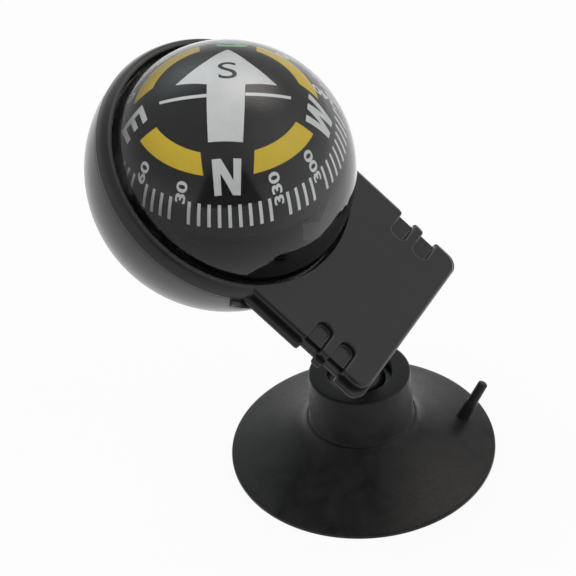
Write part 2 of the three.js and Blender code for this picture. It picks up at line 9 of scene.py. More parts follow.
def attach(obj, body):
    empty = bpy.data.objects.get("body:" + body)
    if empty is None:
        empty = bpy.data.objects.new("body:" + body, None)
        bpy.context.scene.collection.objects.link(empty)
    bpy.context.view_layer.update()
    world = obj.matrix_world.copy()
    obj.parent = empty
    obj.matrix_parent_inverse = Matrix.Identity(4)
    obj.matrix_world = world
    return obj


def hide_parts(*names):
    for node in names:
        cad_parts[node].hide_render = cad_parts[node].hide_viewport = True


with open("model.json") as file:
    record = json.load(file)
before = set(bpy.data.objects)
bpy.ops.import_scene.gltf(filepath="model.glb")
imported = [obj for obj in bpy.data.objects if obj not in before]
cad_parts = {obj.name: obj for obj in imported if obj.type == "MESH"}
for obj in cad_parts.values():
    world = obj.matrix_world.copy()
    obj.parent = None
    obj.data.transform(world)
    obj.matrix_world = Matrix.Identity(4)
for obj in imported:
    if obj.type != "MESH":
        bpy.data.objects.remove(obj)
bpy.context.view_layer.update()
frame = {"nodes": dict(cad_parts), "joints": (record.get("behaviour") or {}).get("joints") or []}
print("packed model loaded:", len(frame["nodes"]), "nodes")

mm = 0.001
joints = {joint["name"]: joint for joint in frame["joints"]}
jointCentre = Vector(joints["neck_swivel"]["pos_m"])
ballCentre = Vector(joints["card_spin"]["pos_m"])

# How the head, the stem and the card stand
stance = {
    "faceAzimuth": -41.1,
    "faceTilt": 40.1,
    "armSpin": 10,
    "stemSlant": 30,
    "cardHeelX": 2.7,
    "cardHeelY": 2.7,
}


def turned(degrees, axis):
    return Matrix.Rotation(math.radians(degrees), 4, axis)


def moved(x, y, z):
    return Matrix.Translation((x, y, z))


headTurn = (turned(stance["faceAzimuth"], "Z") @ turned(stance["faceTilt"], "Y")
            @ turned(stance["armSpin"], "Z"))
cupFrame = moved(jointCentre.x, jointCentre.y, 0) @ Matrix.Scale(mm, 4)
socketFrame = Matrix.Translation(jointCentre) @ Matrix.Scale(mm, 4)
stemFrame = (Matrix.Translation(jointCentre) @ headTurn @ turned(-stance["stemSlant"], "Y")
             @ Matrix.Scale(mm, 4))
headFrame = Matrix.Translation(ballCentre) @ headTurn @ Matrix.Scale(mm, 4)
cardFrame = (Matrix.Translation(ballCentre) @ turned(stance["cardHeelX"], "X")
             @ turned(stance["cardHeelY"], "Y") @ Matrix.Scale(mm, 4))


# Camera, from the photograph's viewing angle
photo = {
    "elevation": 37.57,
    "roll": -4.4,
    "distance": 398.85,  # from the foot of the cup's axis
    "focalPixels": 2200,
    "imageWidth": 576,
    "sensorWidth": 36,
    "footPixel": (363.4, 447.34),  # where the foot of the cup's axis shows
}


def aimCamera():
    elevation = math.radians(photo["elevation"])
    roll = math.radians(photo["roll"])
    back = Vector((0, -math.cos(elevation), math.sin(elevation)))
    level = Vector((1, 0, 0))
    rise = back.cross(level)
    across = level * math.cos(roll) + rise * math.sin(roll)
    upward = rise * math.cos(roll) - level * math.sin(roll)
    centrePixel = photo["imageWidth"] / 2
    pixelSize = photo["distance"] / photo["focalPixels"]
    place = (back * photo["distance"]
             - across * (photo["footPixel"][0] - centrePixel) * pixelSize
             - upward * (centrePixel - photo["footPixel"][1]) * pixelSize)
    place = place * mm + Vector((jointCentre.x, jointCentre.y, 0))
    lens = bpy.data.cameras.new("photoCamera")
    lens.sensor_width = photo["sensorWidth"]
    lens.lens = photo["focalPixels"] * photo["sensorWidth"] / photo["imageWidth"]
    lens.clip_start = 0.01
    camera = bpy.data.objects.new("photoCamera", lens)
    bpy.context.scene.collection.objects.link(camera)
    columns = Matrix((across, upward, back)).transposed().to_4x4()
    camera.matrix_world = Matrix.Translation(place) @ columns
    bpy.context.scene.camera = camera


aimCamera()
print("camera set")


# Lines and meshes

def evenly(start, end, steps):
    return [start + (end - start) * k / steps for k in range(steps + 1)]


def arcLine(radius, fromDegrees, toDegrees, steps, centre=(0, 0)):
    angles = [math.radians(angle) for angle in evenly(fromDegrees, toDegrees, steps)]
    return [(centre[0] + radius * math.cos(angle), centre[1] + radius * math.sin(angle))
            for angle in angles]


# Shares of a radius that fall to nothing and rise from nothing along a quarter turn
def quarterTurn(steps):
    angles = [math.radians(angle) for angle in evenly(0, 90, steps)]
    return [(1 - math.sin(angle), 1 - math.cos(angle)) for angle in angles]


def heightAngle(radius, height):
    return math.degrees(math.asin(height / radius))


# A smooth line through its points
def flowingLine(points, steps=6):
    points = [Vector(point) for point in points]
    ends = [2 * points[0] - points[1], *points, 2 * points[-1] - points[-2]]
    line = []
    for i in range(1, len(ends) - 2):
        a, b, c, d = ends[i - 1:i + 3]
        for k in range(steps):
            t = k / steps
            line.append(0.5 * (2 * b + (c - a) * t + (2 * a - 5 * b + 4 * c - d) * t * t
                               + (3 * b - a - 3 * c + d) * t ** 3))
    line.append(points[-1])
    return [tuple(point) for point in line]


# Corners given as (across, up) stay sharp, and as (across, up, rounding) are rounded off
def roundedLine(corners, steps=4):
    line = []
    for i, corner in enumerate(corners):
        here = Vector(corner[:2])
        if len(corner) < 3 or i in (0, len(corners) - 1):
            line.append(tuple(here))
            continue
        before = Vector(corners[i - 1][:2]) - here
        after = Vector(corners[i + 1][:2]) - here
        half = before.angle(after) / 2
        reach = min(corner[2] / math.tan(half), before.length * 0.48, after.length * 0.48)
        radius = reach * math.tan(half)
        towards = (before.normalized() + after.normalized()).normalized()
        centre = here + towards * (radius / math.sin(half))
        first = here + before.normalized() * reach - centre
        last = here + after.normalized() * reach - centre
        start = math.atan2(first.y, first.x)
        sweep = math.atan2(last.y, last.x) - start
        sweep = (sweep + math.pi) % (2 * math.pi) - math.pi
        for k in range(steps + 1):
            angle = start + sweep * k / steps
            line.append((centre.x + radius * math.cos(angle), centre.y + radius * math.sin(angle)))
    return line


def pieceFrom(name, work):
    bmesh.ops.recalc_face_normals(work, faces=work.faces)
    mesh = bpy.data.meshes.new(name)
    work.to_mesh(mesh)
    work.free()
    piece = bpy.data.objects.new(name, mesh)
    bpy.context.scene.collection.objects.link(piece)
    return piece


# A line of (radius, height) turned about the upright axis. Round ends have their last ring
# a degree or more short of the pole, and then one point on it.
def revolved(name, line, segments, closed=False):
    work = bmesh.new()
    rings = []
    for radius, height in line:
        if radius < 1e-6:  # a point on the axis
            rings.append([work.verts.new((0, 0, height))])
            continue
        rings.append([work.verts.new((radius * math.cos(2 * math.pi * k / segments),
                                      radius * math.sin(2 * math.pi * k / segments), height))
                      for k in range(segments)])
    pairs = list(zip(rings, rings[1:]))
    if closed:
        pairs.append((rings[-1], rings[0]))
    for low, high in pairs:
        for k in range(segments):
            following = (k + 1) % segments
            corners = [low[k % len(low)], low[following % len(low)],
                       high[following % len(high)], high[k % len(high)]]
            corners = list(dict.fromkeys(corners))
            if len(corners) > 2:
                work.faces.new(corners)
    return pieceFrom(name, work)


overrun = 1.0  # how far cutters reach past what they cut


def rod(name, radius, low, high):
    return revolved(name, [(0, low), (radius, low), (radius, high), (0, high)], segments=48)


# A hole's cutter, which a small rounding widens at its mouth, the low end
def drill(name, radius, low, high):
    rounding = 0.2
    flare = [(radius + rounding * rising, low + rounding * falling)
             for falling, rising in reversed(quarterTurn(5))]
    return revolved(name, [(0, low - overrun), (radius + rounding, low - overrun), *flare,
                           (radius, high), (0, high)], segments=64)


# Outlines of one length stacked at their heights, with a face at each end
def stacked(name, layers):
    work = bmesh.new()
    loops = [[work.verts.new((x, y, height)) for x, y in outline] for outline, height in layers]
    work.faces.new(reversed(loops[0]))
    work.faces.new(loops[-1])
    count = len(loops[0])
    for low, high in zip(loops, loops[1:]):
        for k in range(count):
            following = (k + 1) % count
            work.faces.new((low[k], low[following], high[following], high[k]))
    return pieceFrom(name, work)


# Applies a piece's modifiers, and closes the slivers that cutting leaves
def bakeModifiers(piece):
    evaluated = piece.evaluated_get(bpy.context.evaluated_depsgraph_get())
    mesh = bpy.data.meshes.new_from_object(evaluated)
    sliver = 0.0008  # millimetres
    work = bmesh.new()
    work.from_mesh(mesh)
    bmesh.ops.remove_doubles(work, verts=work.verts, dist=sliver)
    bmesh.ops.dissolve_degenerate(work, edges=work.edges, dist=sliver)
    work.to_mesh(mesh)
    work.free()
    piece.modifiers.clear()
    piece.data = mesh


def combine(piece, tool, operation):
    change = piece.modifiers.new(operation.lower(), "BOOLEAN")
    change.operation = operation
    change.solver = "EXACT"
    change.object = tool
    bakeModifiers(piece)
    bpy.data.objects.remove(tool)
    return piece


def unite(piece, *tools):
    for tool in tools:
        combine(piece, tool, "UNION")
    return piece


def cut(piece, *tools):
    for tool in tools:
        combine(piece, tool, "DIFFERENCE")
    return piece


def transformed(piece, matrix):
    piece.data.transform(matrix)
    return piece


# Moves a finished shape to its place, shades it smooth and names what it rides on
def settle(piece, place, body, finish, replaces=(), sharp=40, flats=False):
    transformed(piece, place).data.shade_smooth()
    piece.data.set_sharp_from_angle(angle=math.radians(sharp))
    if flats:  # keeps flat faces flat beside their rounded edges
        steady = piece.modifiers.new("steady", "WEIGHTED_NORMAL")
        steady.keep_sharp = True
        steady.weight = 80
    piece.data.materials.clear()
    piece.data.materials.append(materials[finish])
    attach(piece, body)
    if replaces:
        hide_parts(*replaces)


# Node helpers

# Inputs are given by name or number, each as a value or as another node's output
def addNode(tree, kind, inputs=None, **settings):
    node = tree.nodes.new(kind)
    for name, value in settings.items():
        setattr(node, name, value)
    for key, given in (inputs or {}).items():
        if isinstance(given, bpy.types.NodeSocket):
            tree.links.new(given, node.inputs[key])
        else:
            node.inputs[key].default_value = given
    return node


# Eases from low to high while another node's value goes from start to end
def fading(tree, source, start, end, low=0.0, high=1.0):
    fade = addNode(tree, "ShaderNodeMapRange", {
        "Value": source, "From Min": start, "From Max": end, "To Min": low, "To Max": high,
    }, interpolation_type="SMOOTHSTEP")
    return fade.outputs["Result"]


def mathStep(tree, operation, *given):
    step = addNode(tree, "ShaderNodeMath", dict(enumerate(given)), operation=operation)
    return step.outputs[0]


def vectorStep(tree, operation, *given):
    step = addNode(tree, "ShaderNodeVectorMath", dict(enumerate(given)), operation=operation)
    return step.outputs["Value" if operation in ("DOT_PRODUCT", "DISTANCE") else "Vector"]


def blendShaders(tree, share, first, second):
    mix = addNode(tree, "ShaderNodeMixShader",
                  {"Fac": share, 1: first.outputs[0], 2: second.outputs[0]})
    tree.links.new(mix.outputs[0], tree.nodes["Material Output"].inputs["Surface"])


def newMaterial(name, inputs):
    material = bpy.data.materials.new(name)
    material.use_nodes = True
    shader = material.node_tree.nodes["Principled BSDF"]
    for socket, value in inputs.items():
        shader.inputs[socket].default_value = value
    return material, material.node_tree, shader


# Tone and fine relief of a moulded surface, from broad patches and a fine grain
def makeSurfaceGroup():
    group = bpy.data.node_groups.new("mouldedSurface", "ShaderNodeTree")
    inputs = ("Colour", "Worn Colour", "Patch Size", "Patch Contrast", "Grain Size",
              "Roughness", "Roughness Spread")
    for way, names in [("INPUT", inputs), ("OUTPUT", ("Colour", "Roughness", "Relief"))]:
        for name in names:
            kind = "NodeSocketColor" if "Colour" in name else "NodeSocketFloat"
            group.interface.new_socket(name=name, in_out=way, socket_type=kind)
    given = group.nodes.new("NodeGroupInput").outputs
    place = group.nodes.new("ShaderNodeTexCoord").outputs["Object"]

    def noise(size, detail, roughness, distortion):
        texture = addNode(group, "ShaderNodeTexNoise", {
            "Vector": place, "Scale": mathStep(group, "DIVIDE", 1 / mm, given[size]),
            "Detail": detail, "Roughness": roughness, "Distortion": distortion})
        return texture.outputs["Fac"]

    patches = noise("Patch Size", detail=4, roughness=0.6, distortion=0.8)
    grain = noise("Grain Size", detail=3, roughness=0.55, distortion=0)
    # The noise keeps near its middle, and this range spreads it from plain to worn
    contrast = addNode(group, "ShaderNodeMapRange",
                       {"Value": patches, "From Min": 0.38, "From Max": 0.68})
    amount = mathStep(group, "MULTIPLY", contrast.outputs["Result"], given["Patch Contrast"])
    tone = addNode(group, "ShaderNodeMix", {
        "Factor": amount, 6: given["Colour"], 7: given["Worn Colour"]}, data_type="RGBA")
    uneven = mathStep(group, "SUBTRACT", mathStep(group, "ADD", grain, patches), 1)
    roughness = mathStep(group, "MULTIPLY_ADD", uneven, given["Roughness Spread"],
                         given["Roughness"])
    addNode(group, "NodeGroupOutput",
            {"Colour": tone.outputs[2], "Roughness": roughness, "Relief": grain})
    return group


surfaceGroup = makeSurfaceGroup()


def grey(value, warmth=0.0):
    return (value * (1 + warmth), value, value * (1 - warmth), 1)


# One Principled surface fed by the shared group, with its own values
def surfaceMaterial(name, look):
    material, tree, shader = newMaterial(name, {
        "Metallic": look.get("metallic", 0), "Specular IOR Level": look.get("specular", 0.5),
        "Sheen Weight": look.get("sheen", 0)})
    colour, wornColour = look["colours"]
    patchSize, patchContrast = look["patches"]
    roughness, spread = look["roughness"]
    strength, depth = look["relief"]
    surface = addNode(tree, "ShaderNodeGroup", {
        "Colour": colour, "Worn Colour": wornColour, "Patch Size": patchSize,
        "Patch Contrast": patchContrast, "Grain Size": look["grain"], "Roughness": roughness,
        "Roughness Spread": spread}, node_tree=surfaceGroup).outputs
    relief = addNode(tree, "ShaderNodeBump", {
        "Height": surface["Relief"], "Strength": strength, "Distance": depth * mm})
    tree.links.new(surface["Colour"], shader.inputs["Base Color"])
    tree.links.new(surface["Roughness"], shader.inputs["Roughness"])
    tree.links.new(relief.outputs["Normal"], shader.inputs["Normal"])
    return material


# Each finish has its plain and worn colours, the size and contrast of its patches, the size
# of its grain, its roughness and how far that spreads, and its relief's strength and depth
finishes = {
    "housingPlastic": {
        "colours": (grey(0.012), grey(0.016, 0.02)), "patches": (9, 0.6), "grain": 0.22,
        "roughness": (0.3, 0.1), "relief": (0.2, 0.015), "specular": 0.38,
    },
    "bowlPlastic": {
        "colours": (grey(0.018), grey(0.026, 0.03)), "patches": (14, 0.5), "grain": 0.5,
        "roughness": (0.24, 0.08), "relief": (0.1, 0.02), "specular": 0.62,
    },
    "cupRubber": {
        "colours": (grey(0.003), grey(0.018, 0.02)), "patches": (7, 0.9), "grain": 0.6,
        "roughness": (0.4, 0.3), "relief": (0.3, 0.03), "specular": 0.19, "sheen": 0.1,
    },
    "sealRubber": {
        "colours": (grey(0.008), grey(0.012)), "patches": (5, 0.5), "grain": 0.3,
        "roughness": (0.7, 0.1), "relief": (0.05, 0.01), "specular": 0.15,
    },
    "capsulePlastic": {
        "colours": (grey(0.004), grey(0.005)), "patches": (8, 0.5), "grain": 0.4,
        "roughness": (0.75, 0.05), "relief": (0, 0.01), "specular": 0.1,
    },
    "cardBlack": {
        "colours": (grey(0.0045), grey(0.007)), "patches": (5, 0.6), "grain": 0.3,
        "roughness": (0.65, 0.1), "relief": (0, 0.01), "specular": 0.15,
    },
    "blackInk": {
        "colours": (grey(0.012), grey(0.03)), "patches": (1, 0.5), "grain": 0.2,
        "roughness": (0.6, 0.1), "relief": (0.1, 0.01), "specular": 0.2,
    },
    "platedSteel": {
        "colours": ((0.58, 0.58, 0.6, 1), (0.42, 0.42, 0.44, 1)), "patches": (1.5, 0.6),
        "grain": 0.1, "roughness": (0.32, 0.15), "relief": (0.15, 0.01), "metallic": 1,
    },
    "turnedBrass": {
        "colours": ((0.02, 0.015, 0.01, 1), (0.012, 0.01, 0.008, 1)), "patches": (1.5, 0.6),
        "grain": 0.1, "roughness": (0.45, 0.12), "relief": (0.15, 0.01), "metallic": 1,
    },
    "magnetIron": {
        "colours": (grey(0.05), grey(0.09)), "patches": (1.2, 0.8), "grain": 0.15,
        "roughness": (0.5, 0.2), "relief": (0.4, 0.02), "metallic": 0.6,
    },
}
inkColours = {
    "whiteInk": ((0.67, 0.68, 0.68, 1), (0.61, 0.62, 0.625, 1)),
    "yellowInk": ((0.71, 0.50, 0.02, 1), (0.65, 0.46, 0.03, 1)),
    "greenInk": ((0.19, 0.46, 0.25, 1), (0.16, 0.40, 0.22, 1)),
}
for ink, colours in inkColours.items():
    finishes[ink] = {"colours": colours, "patches": (2.5, 0.7), "grain": 0.25,
                     "roughness": (0.6, 0.1), "relief": (0.15, 0.01), "specular": 0.2}
materials = {name: surfaceMaterial(name, look) for name, look in finishes.items()}


# Clear ball
capsule = {
    "radius": 21.7,
    "wall": 1.3,
    "footRadius": 21.74,
    "footTop": 1.2,
    "frosted": 0.3,  # roughness of the band above its foot, and the heights where it ends
    "frostFull": 3.1,
    "frostEnd": 4.1,
    "frostSlant": 1.2,  # how much higher it reaches on the side away from the arm
    "flangeRadius": 22.5,
    "flangeLow": -1.0,
    "flangeTop": 0.2,
    "shoulder": 0.1,  # from the top of its foot to where the round part starts
    "tint": (0.97, 0.98, 0.98, 1),
    "ior": 1.45,
}


# Outside of the clear ball. Shadow and diffuse rays pass it unbent, so the dial is lit evenly.
def acrylicMaterial():
    c = capsule
    material, tree, shader = newMaterial("clearAcrylic", {
        "Base Color": c["tint"], "Transmission Weight": 1, "IOR": c["ior"]})
    place = tree.nodes.new("ShaderNodeTexCoord").outputs["Object"]
    slanted = headTurn.to_3x3() @ Vector((c["frostSlant"] / c["radius"], 0, 1))
    height = vectorStep(tree, "DOT_PRODUCT", vectorStep(tree, "SUBTRACT", place, ballCentre),
                        slanted)
    frost = fading(tree, height, c["frostFull"] * mm, c["frostEnd"] * mm, c["frosted"], 0)
    tree.links.new(frost, shader.inputs["Roughness"])
    rays = tree.nodes.new("ShaderNodeLightPath").outputs
    unbent = mathStep(tree, "MAXIMUM", rays["Is Shadow Ray"], rays["Is Diffuse Ray"])
    blendShaders(tree, unbent, shader, tree.nodes.new("ShaderNodeBsdfTransparent"))
    return material


materials["clearAcrylic"] = acrylicMaterial()
# Inside of the clear ball: the liquid wets it, so that face neither bends nor mirrors light
materials["wettedInside"] = newMaterial("wettedInside", {
    "Base Color": (1, 1, 1, 1), "Alpha": 0, "Specular IOR Level": 0})[0]
print("materials made:", len(materials))


# Rubber suction cup with its collar and release tab
cup = {
    "radius": 23.84,
    "rimThickness": 0.9,
    "rimWidth": 1.5,
    "hollowHeight": 5.4,
    "collarRadius": 9.29,
    "collarTopRadius": 9,
    "collarBase": 7.91,
    "collarTop": 18.11,
    "mouthRadius": 5.76,
    "lipHeight": 16.71,
    "boreRadius": 6.5,
    "boreFloor": 8.02,
    "footBead": 0.16,
    # Shares of the skirt's run and rise, from the rim to the collar
    "skirtShares": [(0, 0), (0.26, 0.2), (0.53, 0.44), (0.76, 0.69), (0.89, 0.87), (0.965, 1.06)],
    # Shares of the hollow's radius and height, from the axis to the rim
    "hollowShares": [(0, 1), (0.27, 0.96), (0.54, 0.8), (0.78, 0.52), (0.92, 0.22), (1, 0)],
}
tab = {
    "azimuth": 9.4,
    "lean": 29,
    "standoff": 18.7,
    "footHeight": 2.8,
    "length": 8.15,
    "footRadius": 1.1,
    "tipRadius": 0.9,
    "root": 0.6,
    "stepShare": 0.45,  # of its length, where it steps in to its thinner tip
}


def buildCup():
    c = cup
    run = c["radius"] - c["collarRadius"]
    rise = c["collarBase"] - c["rimThickness"]
    skirt = flowingLine([(c["radius"] - run * along, c["rimThickness"] + rise * up)
                         for along, up in c["skirtShares"]])
    inner = c["radius"] - c["rimWidth"]
    hollow = flowingLine([(inner * out, c["hollowHeight"] * up) for out, up in c["hollowShares"]])
    bead = c["footBead"]
    foot = c["collarBase"] + 3 * bead
    upper = roundedLine([
        skirt[-1],
        (c["collarRadius"] + bead, foot, bead),
        (c["collarRadius"] + bead, foot + 1.5 * bead, bead),
        (c["collarRadius"], foot + 3 * bead, bead),
        (c["collarTopRadius"], c["collarTop"], 0.45),
        (c["mouthRadius"], c["collarTop"], 0.3),
        (c["mouthRadius"], c["lipHeight"], 0.2),
        (c["boreRadius"], c["lipHeight"]),
        (c["boreRadius"], c["boreFloor"], 0.3),
        (0, c["boreFloor"]),
    ], steps=6)
    rim = roundedLine([hollow[-1], (c["radius"], 0, 0.35), (c["radius"], c["rimThickness"], 0.4),
                       skirt[2]], steps=6)
    line = hollow[:-1] + rim + skirt[3:] + upper[1:]
    body = revolved("suction_cup_rubber", line, segments=256)
    step = tab["length"] * tab["stepShare"]
    tabLine = roundedLine([
        (0, -tab["root"]),
        (tab["footRadius"] + 0.25, -tab["root"]),
        (tab["footRadius"] + 0.06, 0.35, 0.4),
        (tab["footRadius"], step, 0.15),
        (tab["tipRadius"] + 0.03, step + 0.35, 0.25),
        (tab["tipRadius"], tab["length"], 0.7),
        (0, tab["length"]),
    ], steps=6)
    tongue = revolved("release_tab", tabLine, segments=48)
    standing = moved(tab["standoff"], 0, tab["footHeight"]) @ turned(tab["lean"], "Y")
    unite(body, transformed(tongue, turned(tab["azimuth"], "Z") @ standing))
    settle(body, cupFrame, "cup", "cupRubber", ["suction_cup"], sharp=50)


# Hard socket in the collar, and the ball stud that turns in it
socket = {"ballRadius": 5.15, "wall": 1.05, "low": -5.85, "rise": 2.24}
stud = {
    "ballRadius": 5,
    "stemRadius": 2.2,
    "collarRadius": 3.5,
    "collarEnd": 16.78,
    "collarHeight": 1.4,
    "shankRadius": 2.4,
    "shankEnd": 19.99,
    "boreRadius": 1.4,
    "boreFloor": 15.69,
}


def buildSocket():
    bowl = socket["ballRadius"]
    outer = bowl + socket["wall"]
    mouth = heightAngle(bowl, socket["rise"])
    line = roundedLine([(0, socket["low"]), (outer, socket["low"], 0.4),
                        (outer, socket["rise"], 0.12),
                        (bowl * math.cos(math.radians(mouth)), socket["rise"])])
    line += arcLine(bowl, mouth, -88, 24)[1:] + [(0, -bowl)]
    ring = revolved("ball_socket", line, segments=128)
    settle(ring, socketFrame, "socket", "housingPlastic",
           ["socket_insert"])


def buildStud():
    s = stud
    neck = math.degrees(math.acos(s["stemRadius"] / s["ballRadius"]))
    shoulder = s["collarEnd"] - s["collarHeight"]
    line = [(0, -s["ballRadius"])] + arcLine(s["ballRadius"], -87, neck, 40)
    line += roundedLine([
        line[-1],
        (s["stemRadius"], shoulder - (s["collarRadius"] - s["stemRadius"]), 0.8),
        (s["collarRadius"], shoulder, 0.3),
        (s["collarRadius"], s["collarEnd"], 0.2),
        (s["shankRadius"], s["collarEnd"]),
        (s["shankRadius"], s["shankEnd"]),
        (s["boreRadius"], s["shankEnd"]),
        (s["boreRadius"], s["boreFloor"]),
        (0, s["boreFloor"]),
    ])[1:]
    ball = revolved("ball_and_stem", line, segments=128)
    settle(ball, stemFrame, "stud", "housingPlastic", ["ball_stud"])


buildCup()
buildSocket()
buildStud()
print("cup, socket and stud built")


# Front of the housing: bezel and fluted arm plate
housing = {
    "openingRadius": 22.25,
    "seatRadius": 21.9,
    "seatHeight": 0.5,
    "rebateRadius": 22.8,
    "lipWidth": 0.3,
    # How far the arm's own hole stays outside the bezel's lip and seat, and above its top
    "lipPlay": 0.15,
    "seatPlay": 0.12,
    "topPlay": 0.01,
    "bezelRadius": 24.07,
    "bezelEdge": 0.4,
    "bezelFoot": 23.99,
    # Shares of the domed band's width and height, from its outer edge to the lip
    "bandShares": [(0.03, 0.03), (0.1, 0.25), (0.21, 0.48), (0.36, 0.7), (0.54, 0.87),
                   (0.76, 0.97), (1, 1)],
    "plateTop": 2.75,
    "armStart": 12,
    "armReach": 41,
    "armHalfWidth": 16.9,
    "armCorner": 2.6,
    "armEdge": 0.8,
    "ledgeHalfWidth": 18.2,
    "ledgeReach": 41.3,
    "ledgeCorner": 2.3,
    "ledgeLow": 0.26,
    "ledgeTop": 1,
    "ledgeEdge": 0.25,
    "notchDepth": 1.2,
    "notchRounding": 0.8,  # at its mouth
    "notchFoot": 0.35,  # and in its bottom
    "fluteCentres": (29.3, 34.3),
    "fluteWidth": 3,
    "fluteTip": 11.9,
    "fluteCorner": 1.15,
    "fluteFloor": 1.65,
    "fluteFillet": 0.25,
    "fluteRim": 0.42,
    "fluteInset": 1.2,
    "mouthRounding": 0.8,
}
screws = {
    "rows": (28, 34.9),
    "halfSpan": 9.6,
    "headRadius": 1.9,
    "headHeight": 1,
    "seat": -2.5,
    "shankRadius": 1,
    "length": 3.1,
    "pillarRadius": 2.4,
    "pillarFoot": -1.5,
    "pillarTop": 0.5,
    "pilotTop": 0.9,
    "clearance": 0.3,
    "crossWidth": 0.5,
    "crossLength": 2.1,
    "crossDepth": 0.6,
    "crossTurn": 20,  # how much further each screw's cross is turned than the last
}


# Oblong with rounded corners at its far end, drawn in by an inset
def tongueLine(start, end, halfWidth, corner, inset=0.0):
    line = [(start, inset - halfWidth)]
    line += arcLine(corner - inset, -90, 0, 12, (end - corner, corner - halfWidth))
    line += arcLine(corner - inset, 0, 90, 12, (end - corner, halfWidth - corner))
    line.append((start, halfWidth - inset))
    return line


def onSide(side, line):
    return [(x, side * y) for x, y in line]


def screwPlaces():
    return [(x, side * screws["halfSpan"]) for x in screws["rows"] for side in (-1, 1)]


# Layers of an outline whose edges are rounded off, by one radius above and one below
def roundedLayers(outline, low, top, topRadius, lowRadius=0.0):
    turn = quarterTurn(6)
    lower = [(outline(lowRadius * falling), low + lowRadius * rising) for falling, rising in turn]
    upper = [(outline(topRadius * rising), top - topRadius * falling) for falling, rising in turn]
    return (lower if lowRadius else lower[:1]) + (upper if topRadius else upper[:1])


def armPanel():
    h = housing

    def outline(inset):
        return tongueLine(h["armStart"], h["armReach"], h["armHalfWidth"], h["armCorner"], inset)

    return stacked("arm_and_bezel", roundedLayers(outline, 0, h["plateTop"], h["armEdge"]))


# Thin ledge round the arm's foot, with a rounded notch at the mouth of each flute
def armLedge():
    h = housing

    def outline(inset):
        wide = h["ledgeHalfWidth"] - inset
        notch = wide - h["notchDepth"]
        half = h["fluteWidth"] / 2 + inset
        outer = h["notchRounding"] - inset / 2
        foot = h["notchFoot"]
        corners = [(h["armStart"], -wide)]
        for x in h["fluteCentres"]:
            corners += [(x - half, -wide, outer), (x - half, -notch, foot),
                        (x + half, -notch, foot), (x + half, -wide, outer)]
        corners.append((h["ledgeReach"] - inset, -wide, h["ledgeCorner"]))
        corners += [(x, -y, *rest) for x, y, *rest in reversed(corners)]
        return roundedLine(corners, steps=8)

    return stacked("ledge", roundedLayers(outline, h["ledgeLow"], h["ledgeTop"], h["ledgeEdge"]))


# Cutters for the flutes: a pocket with a rounded floor and rim, and a step at its mouth
def fluteCutters():
    h = housing
    outer = h["ledgeHalfWidth"] + overrun
    above = h["plateTop"] + overrun
    floor = h["fluteFloor"]
    fillet = h["fluteFillet"]
    rim = h["fluteRim"]
    cutters = []

    def pocket(x, side, grow):
        half = h["fluteWidth"] / 2 + grow
        tip = h["fluteTip"] - grow
        corner = h["fluteCorner"] + grow
        bend = h["mouthRounding"] - grow
        mouth = h["armHalfWidth"] - h["mouthRounding"]
        line = [(x - half - bend, outer)]
        line += arcLine(bend, 90, 0, 8, (x - half - bend, mouth))
        line += arcLine(corner, 180, 270, 10, (x - half + corner, tip + corner))
        line += arcLine(corner, 270, 360, 10, (x + half - corner, tip + corner))
        line += arcLine(bend, 180, 90, 8, (x + half + bend, mouth))
        line.append((x + half + bend, outer))
        return onSide(side, line)

    turn = quarterTurn(5)
    for x, side in [(x, side) for x in h["fluteCentres"] for side in (-1, 1)]:
        layers = [(pocket(x, side, -fillet * falling), floor + fillet * rising)
                  for falling, rising in turn]
        layers += [(pocket(x, side, rim * rising), h["plateTop"] - rim * falling)
                   for falling, rising in turn]
        layers.append((pocket(x, side, rim), above))
        cutters.append(stacked("flute_cutter", layers))
        half = h["fluteWidth"] / 2
        inner = h["armHalfWidth"] - h["fluteInset"]
        step = onSide(side, [(x - half, outer), (x - half, inner), (x + half, inner),
                             (x + half, outer)])
        cutters.append(stacked("step_cutter", [(step, h["ledgeTop"]), (step, above)]))
    return cutters


def buildFrontFrame():
    h = housing
    lip = h["openingRadius"] + h["lipWidth"]
    band = flowingLine([(h["bezelRadius"] - (h["bezelRadius"] - lip) * inward,
                         h["bezelEdge"] + (h["plateTop"] - h["bezelEdge"]) * rise)
                        for inward, rise in h["bandShares"]], steps=4)
    edge = roundedLine([(h["seatRadius"], h["seatHeight"]), (h["rebateRadius"], h["seatHeight"]),
                        (h["rebateRadius"], 0), (h["bezelFoot"], 0),
                        (h["bezelRadius"], h["bezelEdge"], 0.1), band[0]])
    top = roundedLine([band[-1], (h["openingRadius"], h["plateTop"], 0.07),
                       (h["seatRadius"], h["seatHeight"])])
    bezel = revolved("bezel", edge[:-1] + band + top[1:-1], closed=True, segments=192)
    plate = unite(armPanel(), armLedge())
    clear = h["openingRadius"] + h["lipPlay"]
    opening = revolved("opening", [
        (0, -overrun), (h["rebateRadius"], -overrun), (h["rebateRadius"], h["seatHeight"]),
        (h["seatRadius"] + h["seatPlay"], h["seatHeight"]),
        (clear, h["plateTop"] + h["topPlay"]),
        (clear, h["plateTop"] + overrun), (0, h["plateTop"] + overrun),
    ], segments=192)
    cut(plate, opening, *fluteCutters())
    s = screws
    for x, y in screwPlaces():
        pillar = rod("pillar", s["pillarRadius"], s["pillarFoot"], s["pillarTop"])
        pilot = rod("pilot", s["shankRadius"] + s["clearance"], s["pillarFoot"] - overrun,
                    s["pilotTop"])
        cut(unite(plate, transformed(pillar, moved(x, y, 0))), transformed(pilot, moved(x, y, 0)))
    unite(plate, bezel)
    settle(plate, headFrame, "head", "housingPlastic",
           ["front_frame"], sharp=50, flats=True)


buildFrontFrame()
print("bezel and arm built")


